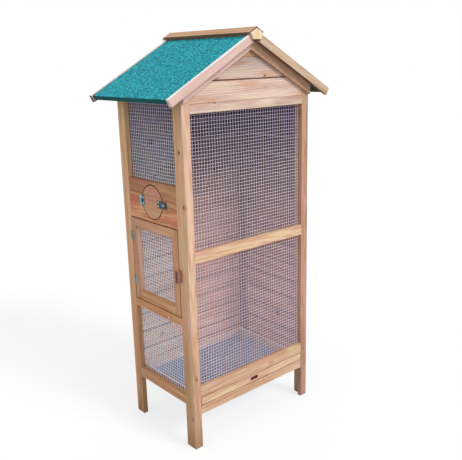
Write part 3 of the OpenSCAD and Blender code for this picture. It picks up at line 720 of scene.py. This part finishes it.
# Door: two stiles with two rails between them, of redder softwood and with its own mesh. It
# hangs from the back side stile on two small zinc butt hinges with crosshead screws. A short
# dark mark on the front stile is the turn button's painted shadow.
# The turn button's painted shadow: a row of overlapping dark marks on the door's front stile.
BUTTON_SHADOW_STEP = 0.0085
button_shadow = [(-0.315, -0.144, 0.677 + BUTTON_SHADOW_STEP * i, 0.0072) for i in range(5)]
door_wood = softwood("door_softwood", (0.74, 0.40, 0.24, 1), (0.50, 0.22, 0.11, 1),
                     (0.62, 0.27, 0.17, 1), (0.14, 0.035, 0.02, 1), straw=(0.60, 0.38, 0.20, 1),
                     knots_and_shadows=button_shadow)
red_wood = softwood("red_softwood", (0.62, 0.35, 0.21, 1), (0.42, 0.19, 0.10, 1),
                    (0.56, 0.25, 0.16, 1), (0.14, 0.035, 0.02, 1), straw=(0.64, 0.38, 0.19, 1),
                    knots_and_shadows=((-0.315, 0.104, 0.841, 0.007),))
foot_wood = softwood("door_foot_softwood", (0.76, 0.42, 0.21, 1), (0.54, 0.24, 0.09, 1),
                     (0.62, 0.24, 0.12, 1), (0.14, 0.035, 0.02, 1), straw=(0.70, 0.44, 0.20, 1))
lit_reveal_wood = softwood("lit_reveal_softwood", (0.86, 0.58, 0.44, 1), (0.66, 0.38, 0.24, 1),
                       (0.78, 0.44, 0.32, 1), (0.2, 0.08, 0.04, 1))
timber("door_front_stile", "z", door_wood, "door_timber", "door")
back_stile = timber("door_back_stile", "z", red_wood, "door_timber", "door")
# The back stile's face that looks to the front is lighter: painted light.
second_finish(back_stile, lit_reveal_wood, lambda face: face.normal.y < -SQUARE_ON)
timber("door_top_rail", "y", door_wood, "door_timber", "door")
timber("door_bottom_rail", "y", foot_wood, "door_timber", "door")
timber("left_middle_rail", "y", foot_wood, "side_timber")
mesh_panel("door_mesh", "door", 5.0, side_wire)

dull_zinc = zinc("dull_zinc", (0.46, 0.40, 0.31, 1), (0.24, 0.19, 0.14, 1), 0.15, 0.65, 300)
for node in ("door_hinge_fixed_leaves", "door_hinge_moving_leaves"):
    refinish(node, dull_zinc)

screw_tree, given = new_tree("crosshead_screws", {
    "Head Radius": "Float", "Head Height": "Float", "Material": "Material"})
head = put(screw_tree, "GeometryNodeMeshCone",
           {"Vertices": 16, "Radius Top": calc(screw_tree, "MULTIPLY", given["Head Radius"], 0.72),
            "Radius Bottom": given["Head Radius"], "Depth": given["Head Height"]},
           fill_type="NGON").outputs[0]

# The cross is two blocks, each an operand of its own. Joined first, they would cross each
# other in one mesh, and the exact solver would give back nothing.
slot_long = calc(screw_tree, "MULTIPLY", given["Head Radius"], 1.05)
slot_wide = calc(screw_tree, "MULTIPLY", given["Head Radius"], 0.28)
cut = put(screw_tree, "GeometryNodeMeshBoolean", {"Mesh 1": head},
          operation="DIFFERENCE", solver="EXACT")
for wide, deep in ((slot_long, slot_wide), (slot_wide, slot_long)):
    block = put(screw_tree, "ShaderNodeCombineXYZ",
                {"X": wide, "Y": deep, "Z": given["Head Height"]}).outputs[0]
    cube = put(screw_tree, "GeometryNodeMeshCube", {"Size": block}).outputs[0]
    lift = put(screw_tree, "ShaderNodeCombineXYZ",
               {"Z": calc(screw_tree, "MULTIPLY", given["Head Height"], 0.75)}).outputs[0]
    raised = put(screw_tree, "GeometryNodeTransform", {"Geometry": cube, "Translation": lift})
    screw_tree.links.new(raised.outputs[0], cut.inputs["Mesh 2"])
facing = put(screw_tree, "GeometryNodeInputNamedAttribute", {"Name": "facing"},
             data_type="FLOAT_VECTOR").outputs[0]
upright = put(screw_tree, "FunctionNodeAlignRotationToVector", {"Vector": facing}, axis="Z")
spin = put(screw_tree, "FunctionNodeRandomValue", {2: 0.0, 3: 1.5, "Seed": 5}, data_type="FLOAT")
spin = put(screw_tree, "FunctionNodeAxisAngleToRotation",
           {"Axis": (0, 0, 1), "Angle": spin.outputs[1]}).outputs[0]
turned = put(screw_tree, "FunctionNodeRotateRotation",
             {"Rotation": upright.outputs[0], "Rotate By": spin},
             rotation_space="LOCAL").outputs[0]
set_in = put(screw_tree, "GeometryNodeInstanceOnPoints",
             {"Points": given["Geometry"], "Instance": cut.outputs[0], "Rotation": turned})
end_tree(screw_tree, set_in.outputs[0], given["Material"])


LEAF_GAP = 0.05
LEAF_THICK = 0.0015
LEAF_SCREW_IN = 0.0058
OUT_LEFT = (-1, 0, 0)


def screws(name, body, places, radius, height, material=dull_zinc):
    """Screw heads at the given places, all facing out to the left."""
    start = bpy.data.meshes.new(name)
    start.from_pydata(places, [], [])
    facing_layer = start.attributes.new("facing", "FLOAT_VECTOR", "POINT")
    facing_layer.data.foreach_set("vector", OUT_LEFT * len(places))
    mesh = grown(screw_tree, {"Head Radius": radius, "Head Height": height,
                              "Material": material}, start)
    add_piece(name, mesh, material, body, "zinc_fittings")


def leaf_places(node, near_low):
    """Two screw places on each hinge leaf of a node, down the middle of its free part. A node
    may hold several leaves, one above the other."""
    low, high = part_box(node)
    middle = low.y + LEAF_SCREW_IN if near_low else high.y - LEAF_SCREW_IN
    leaves = []
    for level in sorted({round(v.co.z, 5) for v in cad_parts[node].data.vertices}):
        if not leaves or level - leaves[-1][1] > LEAF_GAP:
            leaves.append([level, level])
        leaves[-1][1] = level
    return [(high.x - LEAF_THICK, middle, bottom + share * (top - bottom))
            for bottom, top in leaves for share in (0.2, 0.8)]


screws("door_hinge_fixed_screws", "cage", leaf_places("door_hinge_fixed_leaves", False),
       0.0026, 0.0008)
screws("door_hinge_moving_screws", "door", leaf_places("door_hinge_moving_leaves", True),
       0.0026, 0.0008)


# Turn button: a block of darker wood on one screw, which holds the door shut when it is turned
# level. Its shank passes through the stile.
button_wood = softwood("button_softwood", (0.50, 0.22, 0.16, 1), (0.33, 0.12, 0.08, 1),
                       (0.48, 0.20, 0.17, 1), (0.12, 0.04, 0.02, 1))
timber("turn_button", "z", button_wood, "door_timber", "button", reach=0.0015)
low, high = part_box("turn_button")
pivot = (low.x, (low.y + high.y) / 2, (low.z + high.z) / 2)
screws("button_screw", "button", [pivot], 0.0042, 0.0018)


# Hatch: a board with a round hole, and the disc that was cut from it, on one hinge at the back.
# A hasp on the disc reaches over the board, where a swivel head passes through its slot.
hatch_wood = softwood("hatch_softwood", (0.64, 0.33, 0.17, 1), (0.39, 0.145, 0.065, 1),
                      (0.50, 0.15, 0.09, 1), (0.16, 0.05, 0.025, 1), straw=(0.72, 0.39, 0.18, 1),
                      shade_and_weather=((0.91, 1.20), (1.01, 0.80)), damp=0.0)
disc_wood = softwood("disc_softwood", (0.63, 0.33, 0.19, 1), (0.45, 0.20, 0.11, 1),
                     (0.56, 0.24, 0.16, 1), (0.18, 0.06, 0.03, 1), straw=(0.60, 0.35, 0.18, 1))
# Dark wood for gaps and recesses: painted shade.
gap_shade_wood = softwood("gap_shade_softwood", (0.26, 0.11, 0.06, 1), (0.15, 0.06, 0.03, 1),
                     (0.22, 0.08, 0.05, 1), (0.08, 0.02, 0.01, 1), damp=0.0)
board = timber("hatch_board", "y", hatch_wood, "door_timber", reach=0.0018)
disc = timber("hatch_disc", "y", disc_wood, "door_timber", "hatch", reach=0.0018)
# The disc's rim and the board's underside are dark: painted shade in the gaps.
second_finish(disc, gap_shade_wood, lambda face: abs(face.normal.x) < 0.7)
second_finish(board, gap_shade_wood, lambda face: face.normal.z < -SQUARE_ON)

# The hatch hinge's leaves are a lighter and a darker copy of one teal zinc: painted light and shade.
lit_hatch_zinc = zinc("lit_hatch_zinc", (0.24, 0.50, 0.58, 1), (0.08, 0.24, 0.30, 1), 0.5, 0.35, 110)
shaded_hatch_zinc = zinc("shaded_hatch_zinc", (0.07, 0.20, 0.25, 1), (0.02, 0.08, 0.11, 1), 0.4, 0.35, 160)
bright_zinc = zinc("bright_zinc", (0.86, 0.90, 0.90, 1), (0.60, 0.66, 0.68, 1), 0.4, 0.35, 160)
# Near-black hasp: a painted reflection of dark surroundings on bright metal.
dark_reflection_zinc = zinc("dark_reflection_zinc", (0.06, 0.07, 0.10, 1), (0.01, 0.015, 0.03, 1), 0.35, 0.40, 240)
for node, metal in (("hatch_hinge_fixed_leaf", lit_hatch_zinc), ("hatch_hinge_moving_leaf", shaded_hatch_zinc),
                    ("hatch_hasp", dark_reflection_zinc), ("hatch_turn", lit_hatch_zinc)):
    refinish(node, metal)
screws("hatch_hinge_fixed_screws", "cage", leaf_places("hatch_hinge_fixed_leaf", False),
       0.0030, 0.0008, bright_zinc)
screws("hatch_hinge_moving_screws", "hatch", leaf_places("hatch_hinge_moving_leaf", True),
       0.0030, 0.0008, bright_zinc)
HASP_SCREW_IN = 0.006
low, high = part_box("hatch_hasp")
hasp_screws = [(low.x, high.y - HASP_SCREW_IN, z)
               for z in (low.z + HASP_SCREW_IN, high.z - HASP_SCREW_IN)]
screws("hasp_screws", "hatch", hasp_screws, 0.0030, 0.0008, bright_zinc)


# Rail screw: one bright zinc crosshead screw, driven from outside into the rail under the door,
# with its head standing on the wood.
RAIL_SCREW_ALONG = 0.087
RAIL_SCREW_UP = 0.0105
low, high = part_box("left_middle_rail")
screws("rail_screw", "cage", [(low.x, low.y + RAIL_SCREW_ALONG, low.z + RAIL_SCREW_UP)],
       0.0038, 0.0010, bright_zinc)


# Roof: two panels under green mineral felt that is folded under the eaves, a barge board nailed
# to each end of each slope, and a five-sided ridge bar with a pale block on each end.
# The panels are dark brown wood, seen mostly as soffits under the eaves; part of that darkness is
# painted shade.
panel_wood = softwood("panel_softwood", (0.34, 0.18, 0.12, 1), (0.22, 0.11, 0.07, 1),
                      (0.28, 0.14, 0.09, 1), (0.12, 0.06, 0.04, 1))
right_barge_wood = softwood("right_barge_softwood", (0.64, 0.46, 0.31, 1), (0.42, 0.26, 0.14, 1),
                            (0.64, 0.48, 0.38, 1), (0.22, 0.10, 0.05, 1),
                            straw=(0.60, 0.45, 0.23, 1))
ridge_wood = softwood("ridge_softwood", (0.58, 0.35, 0.19, 1), (0.40, 0.21, 0.11, 1),
                      (0.56, 0.30, 0.18, 1), (0.20, 0.08, 0.04, 1), straw=(0.54, 0.37, 0.18, 1))
ridge_foot_shade_wood = softwood("ridge_foot_shade_softwood", (0.17, 0.10, 0.065, 1), (0.10, 0.06, 0.035, 1),
                           (0.15, 0.08, 0.05, 1), (0.05, 0.02, 0.01, 1))
# Near-white wood for the left barges' top faces: painted highlight.
lit_top_wood = softwood("lit_top_softwood", (0.93, 0.93, 0.92, 1), (0.80, 0.78, 0.76, 1),
                         (0.86, 0.78, 0.72, 1), (0.30, 0.22, 0.18, 1), rings=0.4)
end_wood = softwood("end_block_softwood", (0.88, 0.68, 0.46, 1), (0.70, 0.48, 0.28, 1),
                    (0.86, 0.66, 0.58, 1), (0.3, 0.15, 0.08, 1), straw=(0.84, 0.68, 0.40, 1))
# Sawn ends: dark end grain, partly painted shade.
end_grain_and_shade = softwood("end_grain_and_shade_softwood", (0.14, 0.085, 0.08, 1), (0.07, 0.04, 0.04, 1),
                       (0.12, 0.07, 0.08, 1), (0.03, 0.02, 0.02, 1))
END_BLOCK = 0.010
END_BLOCK_SHARE = 0.84
END_BLOCK_ASIDE = 0.005
for side, wood in (("left", left_barge_wood), ("right", right_barge_wood)):
    timber("roof_panel_" + side, "y", panel_wood, "roof_panel")
    for end in ("front", "back"):
        node = end + "_barge_" + side
        barge = timber(node, down_slope(node), wood, "front_timber", reach=0.0018)
        # The left barges' top faces take the painted highlight; the right ones take the rafter wood.
        top_wood = lit_top_wood if side == "left" else rafter_wood
        second_finish(barge, top_wood, lambda face: face.normal.z > 0.6)
        second_finish(barge, shaded_wood, lambda face: face.normal.z < -0.6)
        # The back barges' sawn ends take the same dark end-grain finish.
        if end == "back":
            second_finish(barge, end_grain_and_shade, lambda face: (
                abs(face.normal.x) > 0.8 and abs(face.normal.y) < 0.3))

shape = merged("ridge_bar")
section = [v.co.copy() for v in shape.verts if v.co.y < 0]
low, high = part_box("ridge_bar")
for end in (low, high):
    saw_off(shape, (0, end.y - math.copysign(END_BLOCK, end.y), 0),
            ALONG["y"] * math.copysign(1, end.y))
ease(shape, 0.002)
mesh = to_mesh(shape, "ridge_bar_wood")
mark_grain(mesh, ALONG["y"], 0.37)
ridge = add_piece("ridge_bar_wood", mesh, ridge_wood, "cage", "front_timber", "ridge_bar")
# The ridge's sawn ends: dark end grain and painted shade.
second_finish(ridge, end_grain_and_shade, lambda face: abs(face.normal.y) > 0.7)
# The ridge bar's low side faces are dark: painted shade where it meets the felt.
second_finish(ridge, ridge_foot_shade_wood, lambda face: (
    abs(face.normal.x) > 0.7 and face.normal.z < 0.3))

SECTION_MIDDLE = 0.02
around = sorted(section, key=lambda p: math.atan2(p.z - low.z - SECTION_MIDDLE, p.x))
for name, end in (("front_ridge_end", low.y), ("back_ridge_end", high.y)):
    block = prism([[(p.x * END_BLOCK_SHARE - END_BLOCK_ASIDE, y,
                     low.z + (p.z - low.z) * END_BLOCK_SHARE) for p in around]
                   for y in (end, end - math.copysign(END_BLOCK, end))])
    ease(block, 0.0015)
    mesh = to_mesh(block, name)
    mark_grain(mesh, ALONG["z"], 0.2)
    add_piece(name, mesh, end_wood, "cage", "front_timber")

felt = bpy.data.materials.new("mineral_felt")
felt.use_nodes = True
tree = felt.node_tree
tree.nodes.clear()
place = put(tree, "ShaderNodeTexCoord").outputs["Object"]
granule = put(tree, "ShaderNodeTexVoronoi", {"Vector": place, "Scale": 420})
grit = put(tree, "ShaderNodeSeparateXYZ", {0: granule.outputs["Color"]}).outputs
mottle = put(tree, "ShaderNodeTexNoise", {"Vector": place, "Scale": 115, "Detail": 3}).outputs[0]
worn = put(tree, "ShaderNodeTexNoise", {"Vector": place, "Scale": 6, "Detail": 3}).outputs[0]
colour = mix(tree, ramp(tree, mottle, 0.41, 0.59), (0.010, 0.19, 0.25, 1), (0.038, 0.46, 0.50, 1))
colour = mix(tree, ramp(tree, worn, 0.45, 0.75, 0, 0.4), colour, (0.036, 0.44, 0.49, 1))
colour = mix(tree, calc(tree, "GREATER_THAN", grit["X"], 0.92), colour, (0.09, 0.46, 0.52, 1))
colour = mix(tree, calc(tree, "LESS_THAN", grit["Y"], 0.20), colour, (0.008, 0.10, 0.15, 1))
# Felt faces that turn sideways or down are darkened: painted shade at the eaves and under the fold.
facing_down = put(tree, "ShaderNodeSeparateXYZ",
                  {0: put(tree, "ShaderNodeNewGeometry").outputs["Normal"]}).outputs["Z"]
colour = mix(tree, ramp(tree, facing_down, 0.45, 0.05, 0, 0.85), colour, (0.008, 0.055, 0.05, 1))
colour = mix(tree, ramp(tree, facing_down, -0.60, -0.80, 0, 0.9), colour, (0.055, 0.050, 0.026, 1))
rough_height = calc(tree, "MULTIPLY_ADD", granule.outputs["Distance"], -1.0, mottle)
bump = put(tree, "ShaderNodeBump", {"Height": rough_height, "Strength": 0.5, "Distance": 0.001})
finish = put(tree, "ShaderNodeBsdfPrincipled",
             {"Base Color": colour, "Roughness": 0.85, "Normal": bump.outputs[0],
              "Specular IOR Level": 0.1})
put(tree, "ShaderNodeOutputMaterial", {"Surface": finish.outputs[0]})
FELT_FOLD = 0.062
FELT_THICK = 0.0015
for side in ("left", "right"):
    node = "felt_" + side
    shape = merged(node)
    ease(shape, 0.001)
    add_piece(node + "_sheet", to_mesh(shape, node), felt, "cage", "roofing_felt", node)

    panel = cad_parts["roof_panel_" + side].data
    under = min(panel.polygons, key=lambda face: face.normal.z).normal.copy()
    up_slope = Vector((-under.z, 0, under.x)) * math.copysign(1, under.x)
    low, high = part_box("roof_panel_" + side)
    lowest = min((v.co for v in panel.vertices), key=lambda co: co.z)
    outline = ((0, 0), (FELT_FOLD, 0), (FELT_FOLD, FELT_THICK), (0, FELT_THICK))
    fold = prism([[Vector((lowest.x, y, lowest.z)) + up_slope * along + under * depth
                   for along, depth in outline] for y in (low.y, high.y)])
    name = "felt_fold_" + side
    add_piece(name, to_mesh(fold, name), felt, "cage", "roofing_felt")


# Tray: a zinc sheet with wooden edges that slides out from under the bottom rail on two
# runners. Its front board has a finger slot with round ends.
tray_wood = softwood("tray_softwood", (0.88, 0.68, 0.62, 1), (0.66, 0.46, 0.40, 1),
                     (0.84, 0.58, 0.54, 1), (0.18, 0.07, 0.035, 1), damp=0.0)
SLOT_REACH = 0.024
SLOT_FROM_EDGE = 0.004
TRAY_EDGE = 0.020
front = timber("tray_front", "x", rail_wood, "front_timber", "tray", reach=0.001)
low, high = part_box("tray_front")
# The tray front's top and bottom faces take the darker rafter wood: painted shade in the gaps at the
# rails.
second_finish(front, rafter_wood, lambda face: abs(face.normal.z) > SQUARE_ON)
# The finger slot's inner faces are dark: painted shade in the recess.
second_finish(front, gap_shade_wood, lambda face: (
    abs(face.normal.y) < 0.7 and abs(face.center.x) < SLOT_REACH
    and low.z + SLOT_FROM_EDGE < face.center.z < high.z - SLOT_FROM_EDGE))
for node, facing_tray in (("front_bottom_rail", -1), ("front_lower_rail", 1)):
    second_finish(bpy.data.objects[node + "_wood"], shaded_wood,
                  lambda face: face.normal.z * facing_tray > SQUARE_ON)
edging = timber("tray_frame", "x", tray_wood, "front_timber", "tray", reach=0.0008)
low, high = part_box("tray_frame")
# The frame's outer sides are dark: painted shade beside the runners.
second_finish(edging, gap_shade_wood, lambda face: (
    abs(face.center.x) > high.x - TRAY_EDGE
    and face.normal.x * math.copysign(1, face.center.x) > SQUARE_ON))
for side in ("left", "right"):
    timber("tray_runner_" + side, "y", shaded_wood, "side_timber")
tray_zinc = zinc("tray_zinc", (0.29, 0.37, 0.56, 1), (0.16, 0.22, 0.40, 1), 0.4, 0.42, 220)
refinish("tray_sheet", tray_zinc)
